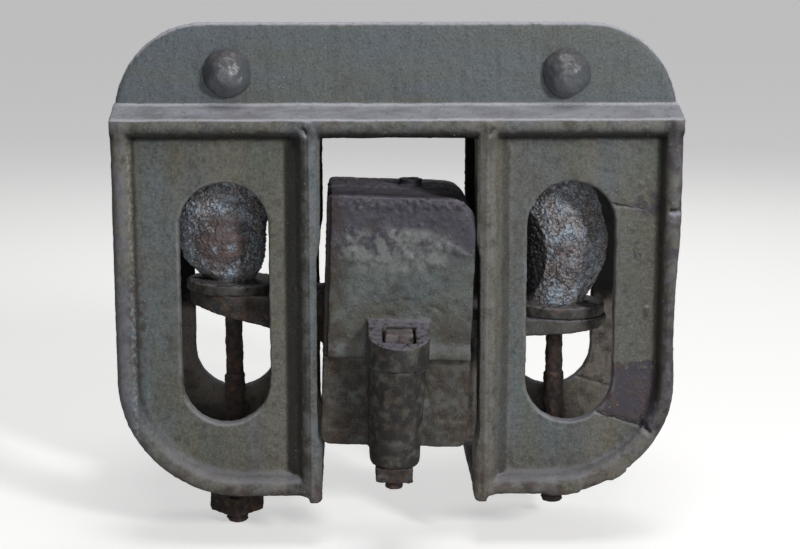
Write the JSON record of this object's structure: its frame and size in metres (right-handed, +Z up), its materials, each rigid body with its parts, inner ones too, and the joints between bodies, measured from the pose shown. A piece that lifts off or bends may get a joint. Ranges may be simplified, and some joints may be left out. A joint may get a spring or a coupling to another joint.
{
  "type": "tramway axle guard with axlebox and rubber springs",
  "caption": "Cast-iron axle guard off a horse-drawn tramcar, slotted and beaded, with its axlebox cocked between the horns on rubber springs.",
  "frame": {"origin": "midway between the two sill bolts, on the back face of the flange, where it meets the timber sill", "axes": "+X along the car, +Y inwards under the car, -Y towards the side that shows, +Z up"},
  "size_m": [0.432, 0.2045, 0.408],
  "materials": {
    "guard_paint": "old grey-green oil paint on rough cast iron, dusty, with rust stains",
    "guard_paint_bolts": "the same grey-green paint on forged bolt heads",
    "box_paint": "grey-green paint worn dark and oily, with purple-grey dust",
    "rusty_steel": "wrought iron and steel, brown with rust",
    "seat_iron": "dark iron plate, greasy and dusty",
    "weathered_rubber": "perished rubber, cracked all over, with remains of blue-grey paint",
    "bearing_brass": "dull oily bearing brass",
    "shield_leather": "oil-soaked leather"
  },
  "bodies": {
    "root": {"axlebox": "box_paint", "axlebox_keep": "box_paint", "dust_shield": "shield_leather", "guard": "guard_paint", "guide_rod_left": "rusty_steel", "guide_rod_right": "rusty_steel", "journal_brass": "bearing_brass", "keep_bolt": "rusty_steel", "keep_nut": "rusty_steel", "rod_locknut_left": "rusty_steel", "rod_nut_left": "rusty_steel", "rod_nut_right": "rusty_steel", "rod_washer_left": "rusty_steel", "rod_washer_right": "rusty_steel", "rubber_spring_left": "weathered_rubber", "rubber_spring_right": "weathered_rubber", "sill_bolt_left": "guard_paint_bolts", "sill_bolt_right": "guard_paint_bolts", "sill_nut_left": "rusty_steel", "sill_nut_right": "rusty_steel", "sill_washer_left": "rusty_steel", "sill_washer_right": "rusty_steel", "spring_seat_left": "seat_iron", "spring_seat_right": "seat_iron"}
  },
  "joints": []
}
